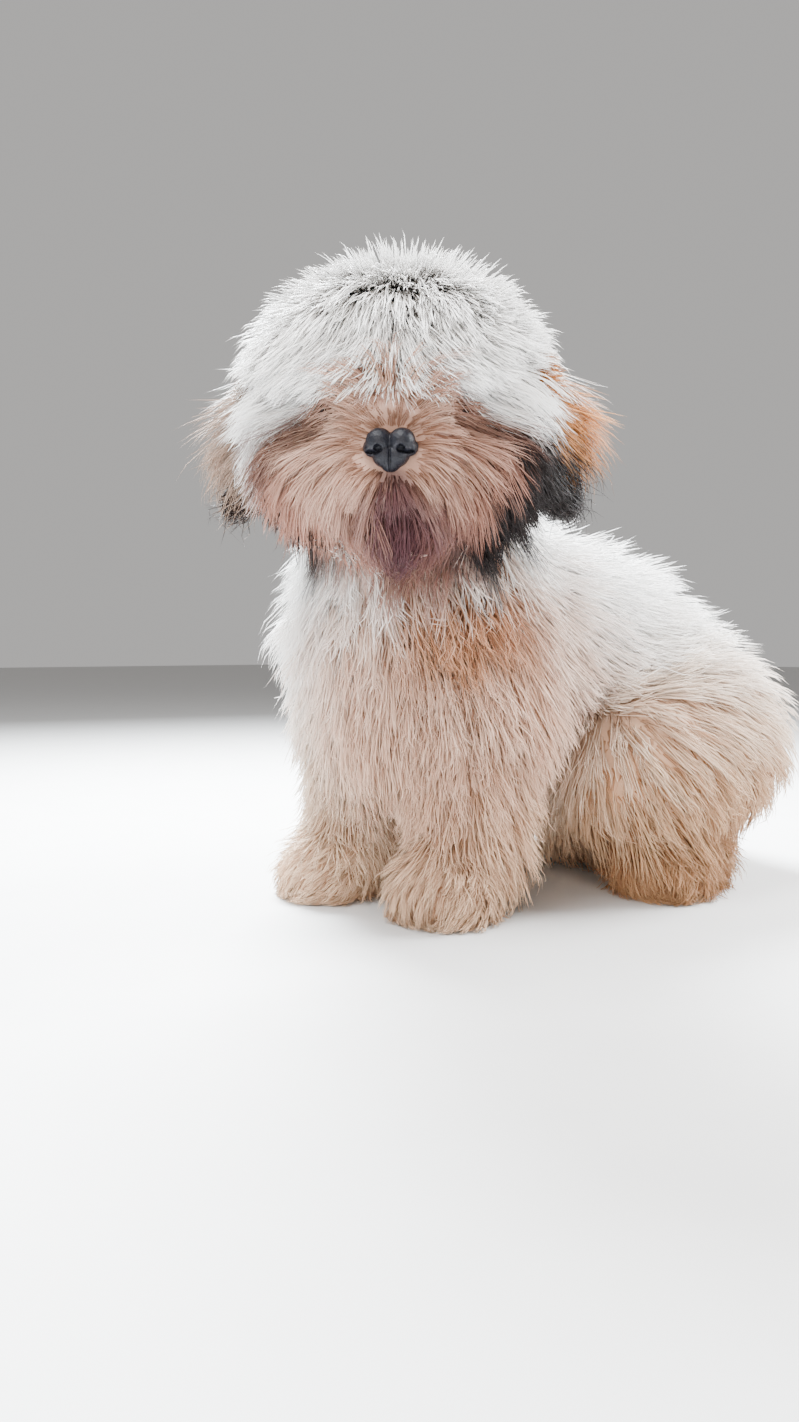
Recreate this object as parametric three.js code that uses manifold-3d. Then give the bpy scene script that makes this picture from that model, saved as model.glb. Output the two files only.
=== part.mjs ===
// A shih tzu puppy about three months old, sitting with its head turned to its left, life size.
// Millimetres, +Z up. The body faces -Y, its left is +X, and the floor is z = 0.
// The flesh is a set of tapered capsules that melt together. Each node wraps a core round its own capsules, keeps
// a fine gap to its neighbours, and grows flat locks of hair that climb from the core to the tips of the coat.
import * as THREE from "three";
import { mergeVertices } from "three/addons/utils/BufferGeometryUtils.js";
import Module from "manifold-3d";

const wasm = await Module();
wasm.setup();

// Driving dimensions
const gap = 0.3; // between touching nodes
const melt = 4; // how softly the capsules run together
const coreShare = 0.4; // how far a core reaches from the skin to the tips of the coat
const grids = [0.004, 0.005, 0.003, 0.006, 0.008, 0.01, 0.002]; // fine grids for the vertices of finished nodes
const sink = 4.5; // how deep a lock is rooted
const floorClear = 2; // between a lock's spine and the floor
const headTurn = 43.5; // degrees to the dog's left
const headDip = 9; // degrees below level
const skullCentre = [33, -76, 199];
const skullRadius = 32;
const crownCoat = 23;
const cheekCoat = 18;
const bodyCoat = 26;
const muzzleReach = 40; // from the skull's centre to the centre of the muzzle's end
const noseReach = 52;
const noseDrop = 14;
const noseHalfWidth = 4.4; // between a lobe's centre and the middle of the nose
const eyeRadius = 7.5;
const eyeSpread = 22;
const eyeReach = 28;
const eyeDrop = 1;
const lidThickness = 1.7;
const earSpread = 36;
const earLength = 44;
const earHalfWidth = 15;
const earThickness = 3.2;
const earCup = 6; // how far the ear's edges bend towards the head
const pawSpread = 31;

const V = (x, y, z) => new THREE.Vector3(x, y, z);
const both = [
  ["left", 1],
  ["right", -1],
];

// The head's own axes, and a point given along them from the skull's centre
const headTilt = new THREE.Euler(THREE.MathUtils.degToRad(headDip), 0, THREE.MathUtils.degToRad(headTurn), "ZYX");
const forward = V(0, -1, 0).applyEuler(headTilt);
const left = V(1, 0, 0).applyEuler(headTilt);
const up = V(0, 0, 1).applyEuler(headTilt);
const skull = V(...skullCentre);
const onHead = (f, l, u) =>
  skull.clone().addScaledVector(forward, f).addScaledVector(left, l).addScaledVector(up, u);
const inHead = (p) => {
  const q = p.clone().sub(skull);
  return { f: q.dot(forward), l: q.dot(left), u: q.dot(up) };
};

// A seeded draw from 0 to 1, the same on every run
function seeded(seed) {
  let state = seed;
  return () => {
    state = (state + 0x6d2b79f5) | 0;
    let mixed = Math.imul(state ^ (state >>> 15), 1 | state);
    mixed = (mixed + Math.imul(mixed ^ (mixed >>> 7), 61 | mixed)) ^ mixed;
    return ((mixed ^ (mixed >>> 14)) >>> 0) / 4294967296;
  };
}

// A tapered capsule of flesh under a coat of the given depth
function capsule(a, ra, b, rb, coat) {
  const run = b.clone().sub(a);
  return { a, ra, b, rb, coat, run, lengthSq: Math.max(run.lengthSq(), 1e-6) };
}

// Lines out of the head along which the coat is open: over each eye and round the nose
const openings = [
  { at: onHead(0, 0, -noseDrop), along: forward, radius: 12 },
  ...both.map(([, s]) => {
    const at = onHead(0, eyeSpread * s * 0.6, -eyeDrop);
    return { at, along: onHead(eyeReach, eyeSpread * s * 1.15, -eyeDrop).sub(at).normalize(), radius: 12 };
  }),
];

function openness(p) {
  let share = 1;
  const out = V(0, 0, 0);
  for (const { at, along, radius } of openings) {
    const ahead = out.subVectors(p, at).dot(along);
    if (ahead > 0) {
      const aside = out.addScaledVector(along, -ahead).length();
      share *= THREE.MathUtils.smoothstep(aside, radius * 0.6, radius * 1.3);
    }
  }
  return share;
}

// Distance from a point to capsules that melt together, with a share of the coat on them, and the coat's depth
function feel(p, capsules, share) {
  const bare = openness(p);
  const out = V(0, 0, 0);
  let sum = 0;
  let coats = 0;
  for (const c of capsules) {
    const t = THREE.MathUtils.clamp(out.subVectors(p, c.a).dot(c.run) / c.lengthSq, 0, 1);
    const radius = THREE.MathUtils.lerp(c.ra, c.rb, t) + c.coat * share * bare;
    const weight = Math.exp((radius - out.addScaledVector(c.run, -t).length()) / melt);
    sum += weight;
    coats += weight * c.coat;
  }
  return { level: -melt * Math.log(sum), coat: (coats * bare) / sum };
}

function outwardAt(p, capsules, share) {
  const slope = (axis) => {
    const ahead = feel(p.clone().addScaledVector(axis, 0.5), capsules, share).level;
    return ahead - feel(p.clone().addScaledVector(axis, -0.5), capsules, share).level;
  };
  return V(slope(V(1, 0, 0)), slope(V(0, 1, 0)), slope(V(0, 0, 1))).normalize();
}

// Distance along a ray from inside the capsules to their surface
function reach(capsules, from, towards, share, swell) {
  let near = 0;
  let far = 160;
  for (let i = 0; i < 20; i++) {
    const middle = (near + far) / 2;
    if (feel(from.clone().addScaledVector(towards, middle), capsules, share).level < swell) near = middle;
    else far = middle;
  }
  return near;
}

// A closed skin over rings of points, all with the same number of points, that ends in two poles
function skinOver(rings, startPole, endPole) {
  const sides = rings[0].length;
  const last = (rings.length - 1) * sides;
  const faces = [];
  for (let r = 0; r < last; r += sides)
    for (let i = 0; i < sides; i++) {
      const j = (i + 1) % sides;
      faces.push(r + i, r + j, r + j + sides, r + i, r + j + sides, r + i + sides);
    }
  const poles = rings.length * sides;
  for (let i = 0; i < sides; i++) {
    const j = (i + 1) % sides;
    faces.push(poles, j, i, poles + 1, last + i, last + j);
  }
  const geometry = new THREE.BufferGeometry().setFromPoints([...rings.flat(), startPole, endPole]);
  geometry.setIndex(faces);
  return geometry;
}

// A closed geometry as a solid that can be cut and joined, turned right side out if it was mirrored
function solid(geometry) {
  const bare = geometry.clone();
  bare.deleteAttribute("normal");
  bare.deleteAttribute("uv");
  const merged = mergeVertices(bare, 1e-3);
  const triVerts = new Uint32Array(merged.index.array);
  const vertProperties = new Float32Array(merged.attributes.position.array);
  const made = new wasm.Manifold(new wasm.Mesh({ numProp: 3, vertProperties, triVerts }));
  if (made.volume() > 0) return made;
  return new wasm.Manifold(new wasm.Mesh({ numProp: 3, vertProperties, triVerts: triVerts.toReversed() }));
}

const join = (solids) => wasm.Manifold.union(solids);

// The core round a straight spine: rays leave the spine all round, fanned at both ends, and stop at the surface
function wrap({ capsules, from, to, side, rows, capRows, sides, share = coreShare }, swell) {
  const along = to.clone().sub(from).normalize();
  const across = side.clone().addScaledVector(along, -side.dot(along)).normalize();
  const other = along.clone().cross(across);
  const hit = (at, towards) => at.clone().addScaledVector(towards, reach(capsules, at, towards, share, swell));
  const ring = (at, tilt) =>
    Array.from({ length: sides }, (_, i) => {
      const turn = (2 * Math.PI * i) / sides;
      const radial = across.clone().multiplyScalar(Math.cos(turn)).addScaledVector(other, Math.sin(turn));
      return hit(at, radial.multiplyScalar(Math.cos(tilt)).addScaledVector(along, Math.sin(tilt)));
    });
  const tilts = Array.from({ length: capRows }, (_, i) => ((Math.PI / 2) * (i + 1)) / (capRows + 1));
  const rings = [
    ...tilts.map((tilt) => ring(from, tilt - Math.PI / 2)),
    ...Array.from({ length: rows + 1 }, (_, i) => ring(from.clone().lerp(to, i / rows), 0)),
    ...tilts.map((tilt) => ring(to, tilt)),
  ];
  return solid(skinOver(rings, hit(from, along.clone().negate()), hit(to, along)));
}

// An ellipsoid with its half sizes along the head's forward, left and up axes
function headBall(centre, halfForward, halfLeft, halfUp, sides = 10) {
  const ball = new THREE.SphereGeometry(1, sides, Math.round(sides * 0.6));
  const place = new THREE.Matrix4().makeBasis(
    forward.clone().multiplyScalar(halfForward),
    left.clone().multiplyScalar(halfLeft),
    up.clone().multiplyScalar(halfUp),
  );
  return solid(ball.applyMatrix4(place.setPosition(centre)));
}

// One flat lock along a spine of { at, along, out }, from its root to its tip: flat below, with a ridge on top,
// widest near its middle and tapered both ways
const widestAt = 0.45;
function lock({ spine, tip, half, thick }, swell) {
  const rings = spine.slice(1).map(({ at, along, out }, i) => {
    const s = (i + 1) / spine.length;
    const past = (s - widestAt) / (1 - widestAt);
    const wide = half * (past < 0 ? Math.pow(s / widestAt, 0.6) : 1 - past * past) + swell * 6;
    const tall = thick * (1 - 0.5 * s) + swell * 2.4;
    const side = out.clone().cross(along).normalize();
    const base = at.clone().addScaledVector(out, -swell * 2.4);
    return [
      base.clone().addScaledVector(side, wide),
      at.clone().addScaledVector(out, tall),
      base.clone().addScaledVector(side, -wide),
    ];
  });
  const past = (end, before, length) =>
    end.clone().addScaledVector(end.clone().sub(before).normalize(), length);
  const root = past(spine[0].at, spine[1].at, swell * 4);
  return solid(skinOver(rings, root, past(tip, spine.at(-1).at, swell * 9)));
}

// A spine that starts below the core's surface, follows the lie of the hair and climbs to the tips of the coat
function climb(root, group, draw) {
  const { length, lie, rings, capsules } = group;
  const steps = rings + 1;
  const long = length * (0.85 + 0.3 * draw());
  const lift = 0.75 + 0.3 * draw();
  const swing = (draw() - 0.5) * 0.5;
  const spine = [];
  const out = outwardAt(root, capsules, coreShare);
  const at = root.clone().addScaledVector(out, -sink);
  const along = lie(root, out);
  for (let i = 0; i < steps; i++) {
    const flow = lie(at, out).applyAxisAngle(out, swing * Math.cos((i * Math.PI) / steps));
    along.lerp(flow, i ? 0.45 : 1);
    along.addScaledVector(out, -along.dot(out)).normalize();
    spine.push({ at: at.clone(), along: along.clone(), out: out.clone() });
    at.addScaledVector(along, long / steps);
    const { level, coat } = feel(at, group.around, coreShare);
    out.copy(outwardAt(at, group.around, coreShare));
    const height = (coat * (1 - coreShare) * lift + sink) * Math.pow((i + 1) / steps, 0.7) - sink;
    at.addScaledVector(out, height - level);
    at.z = Math.max(at.z, floorClear);
  }
  return { spine, tip: at };
}

// Whether a lock's spine keeps its direction, with no step folded back, squeezed or twisted
function runsTrue({ spine, tip }) {
  const sides = spine.map(({ along, out }) => out.clone().cross(along));
  if (sides.some((side, i) => i && side.angleTo(sides[i - 1]) > 0.8)) return false;
  const points = [...spine.map(({ at }) => at), tip];
  const steps = points.slice(1).map((p, i) => p.clone().sub(points[i]));
  const mean = steps.reduce((sum, step) => sum + step.length(), 0) / steps.length;
  return steps.every((step, i) => step.length() > 0.5 * mean && (!i || step.angleTo(steps[i - 1]) < 1.1));
}

// Locks that run true, with their roots spread evenly and at random over the core where no other node covers it
function scatter(group, draw) {
  const roots = [];
  const locks = [];
  const { from, to, capsules, others, spacing, where, half, thick } = group;
  for (let i = 0; i < group.tries; i++) {
    const towards = V(0, 0, 0).setFromSphericalCoords(1, Math.acos(2 * draw() - 1), 2 * Math.PI * draw());
    const start = from.clone().lerp(to, draw());
    const root = start.clone().addScaledVector(towards, reach(capsules, start, towards, coreShare, 0));
    const free = root.z > 3 && where(root) && roots.every((other) => other.distanceTo(root) > spacing);
    if (!free || feel(root, others, coreShare).level < 5.5) continue;
    const one = { ...climb(root, group, draw), half: half * (0.85 + 0.3 * draw()), thick };
    if (!runsTrue(one)) continue;
    roots.push(root);
    locks.push(one);
  }
  return locks;
}

// Flesh, node by node
const flesh = {
  nose: [
    ...both.map(([, s]) => capsule(
      onHead(noseReach - 2, noseHalfWidth * s, -noseDrop + 2), 4.2,
      onHead(noseReach + 2, noseHalfWidth * s, -noseDrop + 2), 4, 0,
    )),
    capsule(onHead(noseReach - 2, 0, -noseDrop - 3), 3.6, onHead(noseReach + 2, 0, -noseDrop - 3), 3.2, 0),
  ],
  head: [
    ...both.flatMap(([, s]) => [
      capsule(onHead(-4, 8 * s, 2), skullRadius, onHead(5, 8 * s, 2), skullRadius, crownCoat),
      capsule(onHead(6, 20 * s, -17), 17, onHead(16, 15 * s, -18), 15, cheekCoat),
      capsule(onHead(46, 4 * s, -23), 5, onHead(33, 13 * s, -25), 6, 6),
    ]),
    capsule(onHead(28, 0, -14), 16, onHead(muzzleReach, 0, -17), 12, 8),
    capsule(onHead(24, 0, -31), 11, onHead(33, 0, -34), 8, 12),
  ],
  neck: [capsule(onHead(-12, 0, -14), 27, V(4, -34, 138), 34, 20)],
  torso: [
    capsule(V(0, -36, 120), 36, V(0, -30, 90), 36, 24),
    capsule(V(22, -28, 112), 26, V(22, -24, 88), 26, 20),
    capsule(V(-22, -34, 112), 28, V(-22, -30, 92), 26, 24),
    capsule(V(0, 0, 114), 40, V(3, 50, 102), 41, bodyCoat),
  ],
  rump: [capsule(V(8, 80, 92), 43, V(14, 94, 54), 42, bodyCoat)],
};
for (const [name, s] of both) {
  const wrist = V(pawSpread * s, s > 0 ? -40 : -48, 14);
  const eye = onHead(eyeReach, eyeSpread * s, -eyeDrop);
  const hip = s > 0 ? V(52, 94, 66) : V(-34, 94, 60);
  const knee = s > 0 ? V(56, 56, 54) : V(-42, 62, 54);
  const heel = s > 0 ? V(64, 84, 13) : V(-55, 82, 13);
  const toes = s > 0 ? V(68, 54, 11) : V(-60, 52, 11);
  const elbow = V(pawSpread * s, wrist.y + 7, 80);
  flesh["eye_" + name] = [capsule(eye, eyeRadius, eye, eyeRadius, 0)];
  flesh["ear_" + name] = [
    capsule(onHead(-8, earSpread * s, 12), 7, onHead(-6, (earSpread + 16) * s, -10), 7, 18),
  ];
  flesh["foreleg_" + name] = [capsule(elbow, 19, V(elbow.x, elbow.y, 24), 14, s > 0 ? 15 : 11)];
  const spread = (from, towards, width, count) =>
    Array.from({ length: count }, (_, i) => {
      const aside = V(-towards.y, towards.x, 0).multiplyScalar(width * (i / (count - 1) - 0.5));
      const short = Math.abs(i / (count - 1) - 0.5) * 8;
      const base = from.clone().addScaledVector(towards, 4).addScaledVector(aside, 0.7);
      return capsule(base, 7, from.clone().addScaledVector(towards, 18 - short).add(aside).setZ(8), 6.5, 5);
    });
  const heading = V(0.12 * s, -1, 0).normalize();
  flesh["forepaw_" + name] = [
    capsule(wrist, 12, wrist.clone().addScaledVector(heading, 8), 11, 7),
    ...spread(wrist, heading, 22, 4),
  ];
  flesh["haunch_" + name] = [capsule(hip, s > 0 ? 36 : 34, knee, 29, 22)];
  const pointing = toes.clone().sub(heel).setZ(0).normalize();
  flesh["hindfoot_" + name] = [
    capsule(heel, 13, toes, 11, 9),
    ...spread(toes.clone().addScaledVector(pointing, -10), pointing, 20, 4),
  ];
}
const tailPoints = [V(12, 134, 50), V(-6, 150, 24), V(-46, 138, 18)];
flesh.tail = [0, 1].map((i) => capsule(tailPoints[i], 11 - 2 * i, tailPoints[i + 1], 9 - 3 * i, 16));
const everything = Object.values(flesh).flat();

// The straight spine inside each node, and how finely its core is faceted
const spines = {
  nose: [onHead(noseReach, -3, -noseDrop), onHead(noseReach, 3, -noseDrop), forward, 1, 2, 12],
  head: [onHead(-2, 0, -5), onHead(18, 0, -10), left, 2, 6, 22],
  neck: [onHead(-12, 0, -14), V(4, -34, 138), V(1, 0, 0), 3, 2, 16],
  torso: [V(0, -26, 108), V(3, 50, 102), V(1, 0, 0), 4, 4, 18],
  rump: [V(8, 80, 92), V(14, 94, 54), V(1, 0, 0), 2, 4, 18],
};
for (const [name] of both) {
  for (const part of ["eye", "foreleg", "haunch", "hindfoot", "forepaw"]) {
    const first = flesh[part + "_" + name][0];
    const axis = part === "foreleg" ? V(1, 0, 0) : V(0, 0, 1);
    const fine = { eye: [1, 2, 10], foreleg: [2, 2, 10], haunch: [1, 3, 14] }[part] ?? [1, 3, 12];
    const end = part === "eye" ? first.b.clone().addScaledVector(forward, 0.5) : first.b;
    spines[part + "_" + name] = [first.a, end, axis, ...fine];
  }
}
const coreOf = (name, swell) => {
  const [from, to, side, rows, capRows, sides] = spines[name];
  return wrap({ capsules: flesh[name], from, to, side, rows, capRows, sides }, swell);
};

// Head: lids round each eye, the line of the mouth and the groove under the nose
function headCore(swell) {
  const lids = both.map(([name]) => {
    const { a, ra } = flesh["eye_" + name][0];
    return headBall(a, ra + lidThickness + swell, ra + lidThickness + swell, ra + lidThickness + swell);
  });
  const slits = both.map(([name]) => {
    const { a, ra } = flesh["eye_" + name][0];
    return headBall(a.clone().addScaledVector(forward, ra), ra, ra - 1 - swell, ra - 2.4 - swell);
  });
  const mouth = new THREE.CatmullRomCurve3([
    onHead(26, -20, -27),
    onHead(44, -12, -30),
    onHead(50, 0, -27.5),
    onHead(44, 12, -30),
    onHead(26, 20, -27),
  ]);
  const grooveHeight = 0.9 - swell;
  const rings = mouth.getPoints(12).map((at, i) => {
    const inward = onHead(20, 0, -29).sub(at).normalize();
    const tall = up.clone().multiplyScalar(grooveHeight);
    const deep = at.clone().addScaledVector(inward, 4);
    const shallow = at.clone().addScaledVector(inward, -8);
    return [deep, shallow.clone().sub(tall), shallow.clone().add(tall)];
  });
  const centreOf = (ring) => ring.reduce((sum, p) => sum.add(p), V(0, 0, 0)).divideScalar(3);
  const line = solid(skinOver(rings, centreOf(rings[0]), centreOf(rings[rings.length - 1])));
  const philtrum = headBall(onHead(muzzleReach + 14, 0, -23), 3.5, 0.7 - swell * 0.5, 6, 8);
  return join([coreOf("head", swell), ...lids]).subtract(join([...slits, line, philtrum]));
}

// Nose: two lobes over a narrow base, with a comma of a nostril in each
function noseCore(swell) {
  const pad = coreOf("nose", swell);
  if (swell) return pad;
  const nostrils = both.flatMap(([, s]) => [
    headBall(onHead(noseReach + 6, 3.6 * s, -noseDrop + 0.6), 4, 1.6, 1.4, 8),
    headBall(onHead(noseReach + 4.5, 6.4 * s, -noseDrop - 0.6), 4, 2.4, 0.7, 8),
  ]);
  return pad.subtract(join(nostrils));
}

// Ear: a leaf of leather that hangs from the side of the skull, its edges cupped towards the head
const earAxes = (s) => {
  const hang = onHead(-6, (earSpread + 17) * s, -14).sub(onHead(-8, earSpread * s, 16)).normalize();
  const wide = forward.clone().addScaledVector(hang, -forward.dot(hang)).normalize();
  const away = hang.clone().cross(wide).multiplyScalar(-s);
  return { hang, wide, away, top: onHead(-8, (earSpread - 1) * s, 16) };
};
const onEar = ({ hang, wide, away, top }, u, v, w) => {
  const leaf = Math.sqrt(Math.max(0, 1 - (2 * u - 1) ** 2)) * (1.1 - 0.25 * u);
  return top
    .clone()
    .addScaledVector(hang, u * earLength)
    .addScaledVector(wide, v * earHalfWidth * leaf)
    .addScaledVector(away, w - earCup * v * v + 3 * Math.sin(Math.PI * u));
};
function earCore(s, swell) {
  const axes = earAxes(s);
  const steps = 6;
  const rings = Array.from({ length: steps }, (_, i) => {
    const u = (i + 0.5) / steps;
    const half = earThickness / 2 + swell;
    const edge = 1 + swell / 6;
    const outer = [-edge, -0.5, 0, 0.5, edge].map((v) => onEar(axes, u, v, Math.abs(v) > 0.9 ? 0 : half));
    const inner = [0.5, 0, -0.5].map((v) => onEar(axes, u, v, -half));
    return [...outer, ...inner];
  });
  return solid(skinOver(rings, onEar(axes, -swell / earLength, 0, 0), onEar(axes, 1 + swell / earLength, 0, 0)));
}

// The lie of the coat: a direction for the hair at a point, along the surface whose outward direction is given
const alongSurface = (v, out) => v.addScaledVector(out, -v.dot(out)).normalize();
const down = V(0, 0, -1);
const crownTop = onHead(-26, 0, 40);
const noseTop = onHead(noseReach - 2, 0, -noseDrop + 4);
const lies = {
  crown: (p, out) => alongSurface(p.clone().sub(crownTop).normalize().addScaledVector(down, 0.35), out),
  face: (p, out) => alongSurface(p.clone().sub(noseTop).normalize().addScaledVector(down, 0.5), out),
  beard: (p, out) => alongSurface(p.clone().sub(noseTop).normalize().multiplyScalar(0.5).add(down), out),
  body: (p, out) => {
    const back = 0.9 * THREE.MathUtils.smoothstep(p.y, -50, 20);
    return alongSurface(V(p.x * 0.006, back, -1), out);
  },
  leg: (p, out) => alongSurface(V(0, 0.12, -1), out),
  haunch: (p, out) => alongSurface(V(p.x * 0.003, 0.55, -1), out),
  paw: (p, out) => alongSurface(V(p.x * 0.01, -1, -0.7), out),
  tail: (p, out) => alongSurface(V(-1, p.z > 40 ? 0.9 : -0.2, p.z > 30 ? -1 : -0.25), out),
};

// Where each kind of lock grows, and its sizes
const anywhere = () => true;
const groups = {
  head: [
    {
      lie: "crown",
      where: (p) => {
        const { f, l, u } = inHead(p);
        return u > 6 + 0.2 * Math.abs(l) || f < 8;
      },
      spacing: 17.5,
      length: 44,
      half: 8.6,
      thick: 3.8,
      rings: 2,
    },
    {
      lie: "face",
      where: (p) => {
        const { f, l, u } = inHead(p);
        const byEye = both.some(([, s]) => Math.hypot(l - eyeSpread * 1.15 * s, u + eyeDrop) < 9.5);
        const byNose = Math.hypot(l, u + noseDrop) < 10;
        return f >= 8 && u <= 6 + 0.2 * Math.abs(l) && u > -27 && !byEye && !byNose;
      },
      spacing: 13,
      length: 25,
      half: 5.2,
      thick: 2.4,
      rings: 2,
    },
    {
      lie: "beard",
      where: (p) => {
        const { f, u } = inHead(p);
        return f >= 8 && u <= -30;
      },
      spacing: 12,
      length: 28,
      half: 5.6,
      thick: 2.6,
      rings: 2,
    },
  ],
  neck: [{ lie: "body", where: anywhere, spacing: 20, length: 46, half: 9.5, thick: 4, rings: 2 }],
  rump: [{ lie: "body", where: anywhere, spacing: 24, length: 56, half: 11.5, thick: 4.6, rings: 2 }],
  torso: [{ lie: "body", where: anywhere, spacing: 24, length: 56, half: 11.5, thick: 4.6, rings: 2 }],
  foreleg: [{ lie: "leg", where: anywhere, spacing: 19, length: 40, half: 8.5, thick: 3.6, rings: 2 }],
  forepaw: [{ lie: "paw", where: anywhere, spacing: 13, length: 22, half: 5.2, thick: 2.4, rings: 2 }],
  haunch: [{ lie: "haunch", where: anywhere, spacing: 23, length: 52, half: 11, thick: 4.4, rings: 2 }],
  hindfoot: [{ lie: "paw", where: anywhere, spacing: 15, length: 24, half: 6, thick: 2.6, rings: 2 }],
  tail: [{ lie: "tail", where: anywhere, spacing: 18, length: 40, half: 8, thick: 3.4, rings: 2 }],
};

function coatOf(name, seed) {
  const draw = seeded(seed);
  const capsules = flesh[name];
  const others = everything.filter((c) => !capsules.includes(c));
  const [from, to] = spines[name] ?? [tailPoints[1], tailPoints[2]];
  return groups[name.replace(/_(left|right)$/, "")].flatMap((kind) => {
    return scatter(
      { ...kind, lie: lies[kind.lie], capsules, others, around: everything, from, to, tries: 2500 },
      draw,
    );
  });
}

// An ear's locks leave its outer face and its rim, and hang free in the air beside the head
function earCoat(s, seed) {
  const draw = seeded(seed);
  const axes = earAxes(s);
  const nearby = everything.filter((c) => !flesh[s > 0 ? "ear_left" : "ear_right"].includes(c));
  const locks = [];
  const rows = [
    [0.2, 3, 30],
    [0.45, 4, 32],
    [0.7, 4, 30],
    [0.9, 3, 32],
  ];
  for (const [u, count, length] of rows)
    for (let i = 0; i < count; i++) {
      const v = count > 1 ? (1.5 * i) / (count - 1) - 0.75 : 0;
      const at = onEar(axes, u, v, -0.2);
      const along = axes.hang.clone().addScaledVector(axes.wide, v * 0.8).addScaledVector(axes.away, 0.35).normalize();
      const long = length * (0.85 + 0.3 * draw());
      const bend = V(draw() - 0.5, draw() - 0.5, -0.35 - 0.4 * draw()).multiplyScalar(0.3);
      const spine = [];
      for (let k = 0; k < 3; k++) {
        const out = axes.away.clone().addScaledVector(along, -axes.away.dot(along)).normalize();
        spine.push({ at: at.clone(), along: along.clone(), out });
        at.addScaledVector(along, long / 3);
        const { level } = feel(at, nearby, coreShare);
        if (level < 5) at.addScaledVector(outwardAt(at, nearby, coreShare), 5 - level);
        along.add(bend).normalize();
      }
      locks.push({ spine, tip: at, half: 5.5 + 2 * draw(), thick: 2.6 });
    }
  return locks;
}

const tailCore = (swell) =>
  join([0, 1].map((i) => {
    const [from, to] = [tailPoints[i], tailPoints[i + 1]];
    return wrap({ capsules: [flesh.tail[i]], from, to, side: V(0, 1, 1), rows: 1, capRows: 2, sides: 8 }, swell);
  }));

// Every node in order, each cut clear of the floor and of those before it
const cream = 0xe9e2d8;
const tan = 0xd2ac8c;
const nodes = [
  { name: "nose", colour: 0x1c1d26, core: noseCore, locks: [] },
  ...both.map(([name]) => ({
    name: "eye_" + name,
    colour: 0x1a120e,
    core: (swell) => coreOf("eye_" + name, swell),
    locks: [],
  })),
  { name: "head", colour: cream, core: headCore, locks: coatOf("head", 11) },
  ...both.map(([name, s]) => ({
    name: "ear_" + name,
    colour: s > 0 ? 0x2a2020 : 0xa08c7c,
    core: (swell) => earCore(s, swell),
    locks: earCoat(s, 20 + s),
  })),
  ...["neck", "torso", "rump"].map((name, i) => ({
    name,
    colour: cream,
    core: (swell) => coreOf(name, swell),
    locks: coatOf(name, 30 + i),
  })),
  ...["foreleg", "forepaw", "haunch", "hindfoot"].flatMap((part, i) =>
    both.map(([name, s]) => ({
      name: part + "_" + name,
      colour: part === "haunch" ? cream : tan,
      core: (swell) => coreOf(part + "_" + name, swell),
      locks: coatOf(part + "_" + name, 40 + 2 * i + s),
    })),
  ),
  { name: "tail", colour: cream, core: tailCore, locks: coatOf("tail", 60) },
];

// A solid as a geometry whose vertices lie on a fine grid, without the slivers that close up there
function onGrid(shape, grid) {
  const mesh = shape.getMesh();
  const position = Float32Array.from(mesh.vertProperties, (x) => Math.round(x / grid) * grid);
  const loose = new THREE.BufferGeometry();
  loose.setAttribute("position", new THREE.BufferAttribute(position, 3));
  loose.setIndex(new THREE.BufferAttribute(mesh.triVerts, 1));
  const geometry = mergeVertices(loose, grid / 2);
  const faces = new Map();
  for (let i = 0; i < geometry.index.count; i += 3) {
    const face = [0, 1, 2].map((k) => geometry.index.getX(i + k));
    const key = [...face].sort((a, b) => a - b).join();
    if (new Set(face).size < 3) continue;
    if (faces.has(key)) faces.delete(key);
    else faces.set(key, face);
  }
  geometry.setIndex([...faces.values()].flat());
  return geometry;
}

// Whether every edge of a geometry belongs to exactly two faces, which run along it in opposite directions
function isClosed(geometry) {
  const edges = new Set();
  for (let i = 0; i < geometry.index.count; i += 3)
    for (let k = 0; k < 3; k++) {
      const edge = geometry.index.getX(i + k) + " " + geometry.index.getX(i + ((k + 1) % 3));
      if (edges.has(edge)) return false;
      edges.add(edge);
    }
  return [...edges].every((edge) => edges.has(edge.split(" ").reverse().join(" ")));
}

// The largest closed piece of a solid, rounded to the first grid that keeps it closed
function largestPiece(shape) {
  let geometry;
  for (let pass = 0; pass < 2; pass++) {
    const piece = pass ? solid(geometry) : shape;
    const largest = piece.decompose().sort((a, b) => b.volume() - a.volume())[0];
    const rounded = grids.map((grid) => onGrid(largest, grid));
    geometry = rounded.find(isClosed) ?? rounded[0];
  }
  return geometry;
}

const ground = solid(new THREE.BoxGeometry(900, 900, 200).translate(0, 0, -100));
const dog = new THREE.Group();
let taken = ground;
for (const { name, colour, core, locks } of nodes) {
  const geometry = largestPiece(join([core(0), ...locks.map((one) => lock(one, 0))]).subtract(taken));
  taken = join([taken, solid(geometry), core(gap), ...locks.map((one) => lock(one, gap))]);
  geometry.computeVertexNormals();
  const material = new THREE.MeshStandardMaterial({ color: colour, roughness: 0.9, metalness: 0 });
  const piece = new THREE.Mesh(geometry, material);
  piece.name = name;
  dog.add(piece);
}

// The origin is under the middle of the dog, on the floor
const middle = new THREE.Box3().setFromObject(dog).getCenter(V(0, 0, 0));
dog.position.set(-middle.x, -middle.y, 0);

export default dog;
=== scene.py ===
import math

import bmesh
import bpy
import numpy as np
from mathutils import Matrix, Vector


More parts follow.
